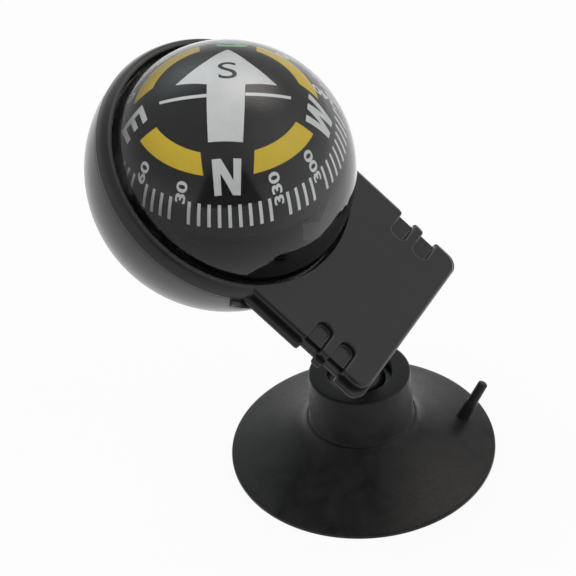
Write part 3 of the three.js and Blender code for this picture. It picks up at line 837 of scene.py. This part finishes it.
# Back of the housing: bowl, shoulder lugs, arm tray and boss
rear = {
    "bowlRadius": 24,
    "wall": 1.8,
    "rim": -0.02,
    "seat": -3.6,
    "trayStart": 16,
    "trayEnd": 39,
    "trayHalfWidth": 14.2,
    "trayCorner": 2,
    "trayLow": -3.2,
    "trayFloor": 1.4,
    "trayWall": 1.4,
    "cavityStart": 24.36,
    "lugRadius": 24.9,
    "lugLow": -1.6,
    "lugStart": 43.5,
    "lugSweep": 9.5,
    "bossRadius": 4.4,
    "bossStart": 17.08,
    "bossEnd": 21.19,
    "bossWeb": 0.9,
    "shankBore": 2.7,
    "screwBore": 1.4,
    "headRoomRadius": 2.6,
    "headRoomDepth": 2.8,
    "hollowPlay": 0.4,  # how far the tray's own hollow stays behind the bowl's inside
    "lugPlay": 0.3,  # and the lugs' inner faces outside the bezel's rebate
    "trayEdge": 0.7,
    "lugEdge": 0.7,
    "bossEdge": 0.4,
}
stemOffset = (44.2, 0, -20.94)  # from the ball's centre to the joint's, in the head's frame


def alongStem(piece):
    return transformed(piece, moved(*stemOffset) @ turned(-stance["stemSlant"], "Y"))


def shoulderLug(side):
    r = rear

    def outline(inset):
        shrink = math.degrees(inset / r["lugRadius"])
        first = r["lugStart"] + shrink
        last = r["lugStart"] + r["lugSweep"] - shrink
        return onSide(side, arcLine(r["lugRadius"] - inset, first, last, 8)
                      + arcLine(housing["rebateRadius"] + r["lugPlay"], last, first, 2))

    return stacked("lug", roundedLayers(outline, r["lugLow"], r["rim"], 0, r["lugEdge"]))


def armTray():
    r = rear

    def outline(inset):
        return tongueLine(r["trayStart"], r["trayEnd"], r["trayHalfWidth"], r["trayCorner"], inset)

    return stacked("bowl_and_tray",
                   roundedLayers(outline, r["trayLow"], r["rim"], 0, r["trayEdge"]))


def buildRearShell():
    r = rear
    inner = r["bowlRadius"] - r["wall"]
    rimAngle = heightAngle(r["bowlRadius"], r["rim"])
    seatAngle = heightAngle(inner, r["seat"])
    rebate = housing["rebateRadius"]
    outside = [(0, -r["bowlRadius"])] + arcLine(r["bowlRadius"], -88, rimAngle, 56)
    inside = arcLine(inner, seatAngle, -88, 40) + [(0, -inner)]
    rim = roundedLine([outside[-2], (outside[-1][0], r["rim"], 0.08), (rebate, r["rim"], 0.1),
                       (rebate, r["seat"])])
    bowl = revolved("bowl", outside[:-2] + rim + inside, segments=192)
    shell = unite(armTray(), shoulderLug(-1), shoulderLug(1))
    bossLine = roundedLine([(0, r["bossStart"]), (r["bossRadius"], r["bossStart"], r["bossEdge"]),
                            (r["bossRadius"], r["bossEnd"]), (0, r["bossEnd"])], steps=6)
    unite(shell, alongStem(revolved("boss", bossLine, segments=96)))
    cavityLine = tongueLine(r["cavityStart"], r["trayEnd"] - r["trayWall"],
                            r["trayHalfWidth"] - r["trayWall"], r["trayCorner"] - r["trayWall"] / 2)
    wide = inner + r["hollowPlay"]
    hollow = revolved("hollow", [(0, -wide)] + arcLine(wide, -88, 0, 56)
                      + [(wide, overrun), (0, overrun)], segments=192)
    cut(shell, hollow, stacked("cavity", [(cavityLine, r["trayLow"] + r["trayFloor"]),
                                          (cavityLine, overrun)]))
    unite(shell, bowl)
    cut(shell,
        alongStem(drill("shank_bore", r["shankBore"], r["bossStart"], r["bossEnd"] - r["bossWeb"])),
        alongStem(rod("screw_bore", r["screwBore"], r["bossStart"], r["bossEnd"] + overrun)),
        alongStem(rod("head_room", r["headRoomRadius"], r["bossEnd"],
                      r["bossEnd"] + r["headRoomDepth"])))
    s = screws
    for x, y in screwPlaces():
        hole = rod("hole", s["shankRadius"] + s["clearance"], r["trayLow"] - overrun, overrun)
        sink = drill("sink", s["headRadius"] + s["clearance"], r["trayLow"], s["seat"])
        cut(shell, transformed(hole, moved(x, y, 0)), transformed(sink, moved(x, y, 0)))
    settle(shell, headFrame, "head", "bowlPlastic",
           ["rear_shell"], sharp=50, flats=True)


def buildScrews():
    s = screws
    under = s["seat"] - s["clearance"]
    face = under - s["headHeight"]
    end = s["seat"] + s["length"]
    half = s["crossWidth"] / 2
    reach = s["crossLength"] / 2
    bar = [(-reach, -half), (reach, -half), (reach, half), (-reach, half)]
    narrow = [(x * 0.55, y * 0.8) for x, y in bar]  # at the bottom of the cross
    for number, (x, y) in enumerate(screwPlaces(), 1):
        line = roundedLine([
            (0, face),
            (s["headRadius"] * 0.8, face, 0.3),
            (s["headRadius"], under - s["headHeight"] * 0.45, 0.25),
            (s["headRadius"], under, 0.1),
            (s["shankRadius"], under),
            (s["shankRadius"], end, 0.2),
            (0, end),
        ])
        head = revolved(f"arm_screw_cross_{number}", line, segments=64)
        for turn in (0, 90):
            slot = stacked("cross", [(bar, face - overrun), (bar, face),
                                     (narrow, face + s["crossDepth"])])
            cut(head, transformed(slot, turned(turn + s["crossTurn"] * number, "Z")))
        settle(transformed(head, moved(x, y, 0)), headFrame, "head",
               "platedSteel", [f"arm_screw_{number}"])


buildRearShell()
buildScrews()
print("bowl, tray and screws built")


def buildDome():
    c = capsule
    inner = c["radius"] - c["wall"]
    above = arcLine(c["radius"], heightAngle(c["radius"], c["footTop"] + c["shoulder"]), 88.5, 60)
    inside = [(0, inner)] + arcLine(inner, 88.5, 0, 60) + [(inner, c["flangeLow"])]
    outside = [(c["flangeRadius"], c["flangeLow"]), (c["flangeRadius"], c["flangeTop"]),
               (c["footRadius"], c["flangeTop"]), (c["footRadius"], c["footTop"]),
               *above, (0, c["radius"])]
    dome = revolved("clear_ball", inside + outside, segments=256)
    settle(dome, Matrix.Identity(4), "head", "clearAcrylic",
           ["capsule_dome"], sharp=30)
    dome.data.materials.append(materials["wettedInside"])
    midWall = c["radius"] - c["wall"] / 2
    for face in dome.data.polygons:
        middle = Vector(face.center)
        if middle.length < midWall and middle.z > c["flangeLow"] + 0.01:
            face.material_index = 1
    dome.data.transform(headFrame)


buildDome()
print("clear ball built")


# Card and its printed scale. Azimuth 0 faces the reader, and bearings run the other way.
card = {
    "radius": 14.65,
    "wall": 0.7,
    "skirt": 1.28,
    "inkProud": 0.02,
    "inkDepth": 0.05,
}
scale = {
    "tickStep": 6,
    "tickWidth": 1.95,
    "tickInner": 73.8,
    "tickOuter": 88,
    "ringInner": 44.9,
    "ringOuter": 57.6,
    "gapHalfWidth": 16.9,  # of the ring's gaps at north and south, measured on the flat print
    "gapFarLeft": 12,  # and of the gap at north, on its left side
    "gapNear": -15,  # near and far ends of its gaps at east and west
    "gapFar": 19,
    "lineStart": (10.3, 11.25),
    "lineReach": 38,
    "lineWidth": 2.4,
    "lineMiddle": -7.3,
    "lineRise": 8.3,
    "farRightOut": 2.2,  # how much further out the ring's far right quarter lies
    "labelPolar": 69.5,
    "labelHeight": 8.4,
    "labelStretch": 1.2,
    "labelWeight": 0.03,  # how far the typeface's outline is moved outwards
    "southNear": 47.5,  # near and far ends of the far letter S
    "southFar": 68,
    "southAzimuth": 175,
    "southStretch": 1.4,
    "southWeight": 0.035,
}
arrow = {
    "turn": 2.6,
    "aside": 0.75,
    # Half-widths and heights of its edge, from the tail to the tip
    "edge": [(10.6, -37.3), (10.7, -15), (10.5, 1.5), (28.3, 7.8), (24, 11.3), (19.9, 15.2),
             (15.5, 19.7), (10.8, 25), (6, 32), (0, 40.8)],
    "letterMiddle": (1.9, 13.5),
    "letterHeight": 16.3,
    "letterStretch": 1.12,
}
# Letters of straight strokes in a box one wide and one high
letterShapes = {
    "N": [(0, 0), (0.27, 0), (0.27, 0.6), (0.7, 0), (1, 0), (1, 1), (0.73, 1), (0.73, 0.4),
          (0.3, 1), (0, 1)],
    "E": [(0, 0), (1, 0), (1, 0.19), (0.3, 0.19), (0.3, 0.42), (0.92, 0.42), (0.92, 0.6),
          (0.3, 0.6), (0.3, 0.81), (1, 0.81), (1, 1), (0, 1)],
    "W": [(0, 1), (0.17, 0), (0.385, 0), (0.5, 0.58), (0.615, 0), (0.83, 0), (1, 1), (0.8, 1),
          (0.71, 0.38), (0.6, 1), (0.4, 1), (0.29, 0.38), (0.2, 1)],
}
letters = {
    "N": {"azimuth": -1.0, "near": 47.0, "far": 67.9, "width": 18.8, "lean": 0},
    "E": {"azimuth": -91.7, "near": 48.2, "far": 67, "width": 15.8, "lean": 8},
    "W": {"azimuth": 93, "near": 49.3, "far": 69, "width": 26.5, "lean": -4},
}
bearings = (30, 60, 120, 150, 210, 240, 300, 330)


# Drops the smallest face where more than two meet at an edge
def untangle(work):
    tangled = {min(edge.link_faces, key=lambda face: face.calc_area())
               for edge in work.edges if len(edge.link_faces) > 2}
    bmesh.ops.delete(work, geom=list(tangled), context="FACES")


# Wraps a flat print on the card as a thin closed film. Its x and y are degrees from the pole.
def printOnCard(name, work, ink, level=0):
    cutStep = 2.0  # degrees between the cuts that let a flat face bend
    merged = 0.02  # points nearer to each other become one
    work.normal_update()
    bmesh.ops.triangulate(work, faces=work.faces)
    for axis, across in enumerate([(1, 0, 0), (0, 1, 0)]):
        values = [vert.co[axis] for vert in work.verts]
        line = math.ceil(min(values) / cutStep) * cutStep
        while line < max(values):
            bmesh.ops.bisect_plane(work, geom=[*work.verts, *work.edges, *work.faces],
                                   plane_co=Vector(across) * line, plane_no=across)
            line += cutStep
    bmesh.ops.remove_doubles(work, verts=work.verts, dist=merged)
    bmesh.ops.dissolve_degenerate(work, edges=work.edges, dist=merged)
    untangle(work)
    grown = bmesh.ops.extrude_face_region(work, geom=list(work.faces), use_keep_orig=True)
    lower = {item for item in grown["geom"] if isinstance(item, bmesh.types.BMVert)}
    outer = card["radius"] + card["inkProud"] * (level + 1)
    for vert in work.verts:
        radius = outer - card["inkDepth"] if vert in lower else outer
        polar = math.radians(math.hypot(vert.co.x, vert.co.y))
        azimuth = math.atan2(vert.co.x, -vert.co.y)
        vert.co = (radius * math.sin(polar) * math.sin(azimuth),
                   -radius * math.sin(polar) * math.cos(azimuth), radius * math.cos(polar))
    settle(pieceFrom(name, work), cardFrame, "card", ink)


def chartPoint(azimuth, polar):
    angle = math.radians(azimuth)
    return (polar * math.sin(angle), -polar * math.cos(angle))


def addOutline(work, outline):
    work.faces.new([work.verts.new((x, y, 0)) for x, y in outline])


# Places flat lettering with its middle at an azimuth and distance from the pole. It reads
# across the radius, or inwards to the pole.
def placedFlat(points, azimuth, polar, inwards, lean=0.0):
    x0, y0 = chartPoint(azimuth, polar)
    angle = math.radians(azimuth + lean)
    reading = (-math.sin(angle), math.cos(angle)) if inwards else (math.cos(angle), math.sin(angle))
    upright = (-reading[1], reading[0])
    return [(x0 + x * reading[0] + y * upright[0], y0 + x * reading[1] + y * upright[1])
            for x, y in points]


# Blender's own typeface as flat faces, centred, with a given height
def flatText(words, height, stretch, weight=0.0):
    curve = bpy.data.curves.new("lettering", "FONT")
    curve.body = words
    curve.offset = weight
    curve.fill_mode = "FRONT"
    curve.resolution_u = 6
    holder = bpy.data.objects.new("lettering", curve)
    bpy.context.scene.collection.objects.link(holder)
    bpy.context.view_layer.update()
    mesh = bpy.data.meshes.new_from_object(
        holder.evaluated_get(bpy.context.evaluated_depsgraph_get()))
    bpy.data.objects.remove(holder)
    work = bmesh.new()
    work.from_mesh(mesh)
    merged = 1e-4  # of the typeface's own height
    bmesh.ops.remove_doubles(work, verts=work.verts, dist=merged)
    untangle(work)
    lows = [min(vert.co[axis] for vert in work.verts) for axis in (0, 1)]
    highs = [max(vert.co[axis] for vert in work.verts) for axis in (0, 1)]
    size = height / (highs[1] - lows[1])
    for vert in work.verts:
        vert.co.x = (vert.co.x - (lows[0] + highs[0]) / 2) * size * stretch
        vert.co.y = (vert.co.y - (lows[1] + highs[1]) / 2) * size
        vert.co.z = 0
    return work


def placeText(work, azimuth, polar, inwards):
    flat = placedFlat([(vert.co.x, vert.co.y) for vert in work.verts], azimuth, polar, inwards)
    for vert, (x, y) in zip(work.verts, flat):
        vert.co = (x, y, 0)


def buildCard():
    inner = card["radius"] - card["wall"]
    skirtOut = heightAngle(card["radius"], -card["skirt"])
    skirtIn = heightAngle(inner, -card["skirt"])
    line = [(0, inner)] + arcLine(inner, 88.5, skirtIn, 50)
    line += arcLine(card["radius"], skirtOut, 88.5, 60) + [(0, card["radius"])]
    dome = revolved("card_cap", line, segments=192)
    settle(dome, cardFrame, "card", "cardBlack", ["card_dome"])


def buildTicks():
    s = scale
    numbered = {(-bearing) % 360 for bearing in bearings}
    half = s["tickWidth"] / 2
    work = bmesh.new()
    for azimuth in range(0, 360, s["tickStep"]):
        if azimuth not in numbered:
            inner = [chartPoint(azimuth + side * half, s["tickInner"]) for side in (-1, 1)]
            outer = [chartPoint(azimuth + side * half, s["tickOuter"]) for side in (1, -1)]
            addOutline(work, inner + outer)
    printOnCard("card_ticks", work, "whiteInk")


# Where a circle about the pole meets the straight end of an arc
def ringEnds(radius):
    s = scale
    side = math.degrees(math.asin(s["gapHalfWidth"] / radius))
    left = math.degrees(math.asin(s["gapFarLeft"] / radius))
    near = math.degrees(math.acos(-s["gapNear"] / radius))
    far = math.degrees(math.acos(s["gapFar"] / radius))
    return {("near", -1): (side, near), ("near", 1): (side, near),
            ("far", -1): (180 - far, 180 - left), ("far", 1): (180 - far, 180 - side)}


def buildRing():
    s = scale
    work = bmesh.new()
    inner = ringEnds(s["ringInner"])
    outer = ringEnds(s["ringOuter"])
    steps = 24
    for quarter, side in outer:
        out = evenly(*outer[quarter, side], steps)
        back = evenly(*reversed(inner[quarter, side]), steps)
        shift = s["farRightOut"] if (quarter, side) == ("far", 1) else 0
        addOutline(work, [chartPoint(side * azimuth, s["ringOuter"] + shift) for azimuth in out]
                   + [chartPoint(side * azimuth, s["ringInner"] + shift) for azimuth in back])
    printOnCard("card_ring", work, "yellowInk")


def buildArrow():
    slant = math.radians(arrow["turn"])
    outline = arrow["edge"] + [(-x, y) for x, y in reversed(arrow["edge"][:-1])]
    work = bmesh.new()
    addOutline(work, [(x * math.cos(slant) + y * math.sin(slant) + arrow["aside"],
                       y * math.cos(slant) - x * math.sin(slant)) for x, y in outline])
    printOnCard("card_arrow", work, "whiteInk")
    s = scale
    half = s["lineWidth"] / 2
    work = bmesh.new()
    for side, start in zip((-1, 1), s["lineStart"]):
        middle = [(x, s["lineMiddle"] + s["lineRise"] * (x / s["lineReach"]) ** 2)
                  for x in evenly(start, s["lineReach"], 10)]
        addOutline(work, [(side * x, y - half) for x, y in middle]
                   + [(side * x, y + half) for x, y in reversed(middle)])
    printOnCard("card_line", work, "whiteInk")


def buildLettering():
    s = scale
    for name, place in letters.items():
        height = place["far"] - place["near"]
        shape = [((x - 0.5) * place["width"], (y - 0.5) * height) for x, y in letterShapes[name]]
        work = bmesh.new()
        addOutline(work, placedFlat(shape, place["azimuth"], (place["near"] + place["far"]) / 2,
                                    inwards=False, lean=place["lean"]))
        printOnCard(f"card_letter_{name.lower()}", work, "whiteInk")
    south = flatText("S", s["southFar"] - s["southNear"], s["southStretch"], s["southWeight"])
    placeText(south, s["southAzimuth"], (s["southNear"] + s["southFar"]) / 2, inwards=False)
    printOnCard("card_letter_s", south, "greenInk")
    small = flatText("S", arrow["letterHeight"], arrow["letterStretch"])
    for vert in small.verts:
        vert.co.x += arrow["letterMiddle"][0]
        vert.co.y += arrow["letterMiddle"][1]
    printOnCard("card_arrow_letter", small, "blackInk", level=1)
    for bearing in bearings:
        label = flatText(str(bearing), s["labelHeight"], s["labelStretch"], s["labelWeight"])
        placeText(label, -bearing, s["labelPolar"], inwards=True)
        printOnCard(f"card_number_{bearing}", label, "whiteInk")


buildCard()
buildTicks()
buildRing()
buildArrow()
buildLettering()
print("card and print built")


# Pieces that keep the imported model's own shape, by their finish
carriedOver = {
    "platedSteel": ["stud_screw", "pivot_pin"],
    "sealRubber": ["capsule_gasket", "expansion_diaphragm"],
    "capsulePlastic": ["capsule_base", "fill_plug", "diaphragm_ring"],
    "turnedBrass": ["pivot_post", "jewel_cup"],
    "cardBlack": ["card_float"],
    "magnetIron": ["card_magnet_left", "card_magnet_right"],
}
for finish, nodes in carriedOver.items():
    for node in nodes:
        kept = frame["nodes"][node].data.materials
        kept.clear()
        kept.append(materials[finish])
print("carried-over pieces finished:", sum(map(len, carriedOver.values())))


# Studio: pale floor, white surroundings and soft lamps
studio = {
    "floorSize": 12,
    "floorColour": (0.9, 0.9, 0.9, 1),
    "floorDrop": 0.0002,  # below what the cup stands on
    "floorGlow": 0.94,  # share of plain white in the floor, so that only a soft shadow shows
    "worldOnObject": 0.42,
    "ceilingTone": 0.6,  # what a mirror sees overhead, as against white at the horizon
    "ceilingRange": (0.02, 0.35),  # heights of the view line where it starts and is full
    # What a mirror sees besides: soft glows, and the dark place where the camera stands
    "glows": [
        {"towards": (0.36, 0.36, 0.86), "reach": 0.5, "strength": 3.2, "colour": (1, 0.9, 0.85)},
        {"towards": (0.75, -0.2, 0.63), "reach": 0.9, "strength": 0.6, "colour": (1, 1, 1)},
        {"towards": (-0.3, 0.66, 0.69), "reach": 0.5, "strength": 1.2, "colour": (0.7, 0.95, 1)},
    ],
    "cameraDark": 0.84,
    "cameraHalfWidth": 0.5,  # at the horizon
    "cameraNarrowing": 0.42,  # how much of that goes for each unit of height
    "cameraEdge": 0.05,
    "cameraFoot": (-0.02, 0.03),  # ranges over which it fades in at its foot and out behind
    "cameraBack": (-0.5, -0.35),
    "cameraTop": 0.7,
    "cameraFade": 0.3,
    # Brightness of the floor in mirrors, from the front left to the back right
    "floorNear": 0.74,
    "floorFar": 1.45,
    "floorAcross": (0.7, 0.7, 0),
    "floorBlend": 0.1,
    "lamps": {
        "overheadLamp": {"place": (-0.3, 0.25, 0.7), "size": 0.6, "power": 2.4},
        "sideLamp": {"place": (0.6, -0.3, 0.45), "size": 0.4, "power": 0.9},
    },
    "aim": (0, 0, 0.04),
}


def whiteToView(tree):
    rays = tree.nodes.new("ShaderNodeLightPath").outputs
    seen = mathStep(tree, "MAXIMUM", rays["Is Camera Ray"], rays["Is Glossy Ray"])
    return mathStep(tree, "MAXIMUM", seen, rays["Is Transmission Ray"])


def allThree(tree, value):
    spread = addNode(tree, "ShaderNodeCombineXYZ", {0: value, 1: value, 2: value})
    return spread.outputs["Vector"]


# Dark place in front, as high as the camera, which mirrors see instead of white
def cameraShadow(tree, parts):
    s = studio

    def product(first, second):
        return mathStep(tree, "MULTIPLY", first, second)

    halfWidth = mathStep(tree, "SUBTRACT", s["cameraHalfWidth"],
                         product(parts["Z"], s["cameraNarrowing"]))
    aside = mathStep(tree, "SUBTRACT", mathStep(tree, "ABSOLUTE", parts["X"]), halfWidth)
    within = fading(tree, aside, -s["cameraEdge"], s["cameraEdge"], 1, 0)
    above = fading(tree, parts["Z"], *s["cameraFoot"])
    below = fading(tree, parts["Z"], s["cameraTop"] - s["cameraFade"], s["cameraTop"], 1, 0)
    front = fading(tree, parts["Y"], *s["cameraBack"], 1, 0)
    dark = product(product(within, above), product(below, front))
    return mathStep(tree, "SUBTRACT", 1, product(dark, s["cameraDark"]))


# White to the camera, and in mirrors a greyer ceiling with soft glows
def makeWorld():
    world = bpy.data.worlds.new("whiteStudio")
    world.use_nodes = True
    bpy.context.scene.world = world
    tree = world.node_tree
    direction = tree.nodes.new("ShaderNodeTexCoord").outputs["Generated"]
    parts = addNode(tree, "ShaderNodeSeparateXYZ", {"Vector": direction}).outputs
    seen = allThree(tree, fading(tree, parts["Z"], *studio["ceilingRange"],
                                 1, studio["ceilingTone"]))
    for glow in studio["glows"]:
        away = vectorStep(tree, "DISTANCE", direction, Vector(glow["towards"]).normalized())
        amount = fading(tree, away, 0, glow["reach"], glow["strength"], 0)
        seen = vectorStep(tree, "MULTIPLY_ADD", glow["colour"], allThree(tree, amount), seen)
    shaded = addNode(tree, "ShaderNodeVectorMath",
                     {0: seen, "Scale": cameraShadow(tree, parts)}, operation="SCALE")
    rays = tree.nodes.new("ShaderNodeLightPath").outputs
    mirrored = addNode(tree, "ShaderNodeMix", {
        "Factor": rays["Is Glossy Ray"], 6: (1, 1, 1, 1), 7: shaded.outputs["Vector"],
    }, data_type="RGBA")
    strength = addNode(tree, "ShaderNodeMix", {
        "Factor": whiteToView(tree), "A": studio["worldOnObject"], "B": 1}, data_type="FLOAT")
    backdrop = tree.nodes["Background"].inputs
    tree.links.new(mirrored.outputs[2], backdrop["Color"])
    tree.links.new(strength.outputs[0], backdrop["Strength"])


def makeFloor():
    half = studio["floorSize"] / 2
    work = bmesh.new()
    corners = [(-half, -half), (half, -half), (half, half), (-half, half)]
    work.faces.new([work.verts.new((x, y, -studio["floorDrop"])) for x, y in corners])
    floor = pieceFrom("studio_floor", work)
    material, tree, shader = newMaterial("paleFloor", {
        "Base Color": studio["floorColour"], "Roughness": 0.9, "Specular IOR Level": 0})
    place = tree.nodes.new("ShaderNodeTexCoord").outputs["Object"]
    across = vectorStep(tree, "DOT_PRODUCT", place, studio["floorAcross"])
    mirrored = fading(tree, across, -studio["floorBlend"], studio["floorBlend"],
                      studio["floorNear"], studio["floorFar"])
    rays = tree.nodes.new("ShaderNodeLightPath").outputs
    strength = addNode(tree, "ShaderNodeMix", {
        "Factor": rays["Is Glossy Ray"], "A": 1, "B": mirrored}, data_type="FLOAT")
    glow = addNode(tree, "ShaderNodeEmission",
                   {"Color": (1, 1, 1, 1), "Strength": strength.outputs[0]})
    share = mathStep(tree, "MULTIPLY", whiteToView(tree), studio["floorGlow"])
    blendShaders(tree, share, shader, glow)
    floor.data.materials.append(material)


def makeLamps():
    for name, lamp in studio["lamps"].items():
        light = bpy.data.lights.new(name, "AREA")
        light.shape = "DISK"
        light.size = lamp["size"]
        light.energy = lamp["power"]
        holder = bpy.data.objects.new(name, light)
        holder.visible_glossy = False
        holder.visible_transmission = False
        holder.location = lamp["place"]
        towards = Vector(studio["aim"]) - Vector(lamp["place"])
        holder.rotation_mode = "QUATERNION"
        holder.rotation_quaternion = towards.to_track_quat("-Z", "Y")
        bpy.context.scene.collection.objects.link(holder)


makeWorld()
makeFloor()
makeLamps()
bpy.context.scene.view_settings.view_transform = "Standard"
print("studio lit")
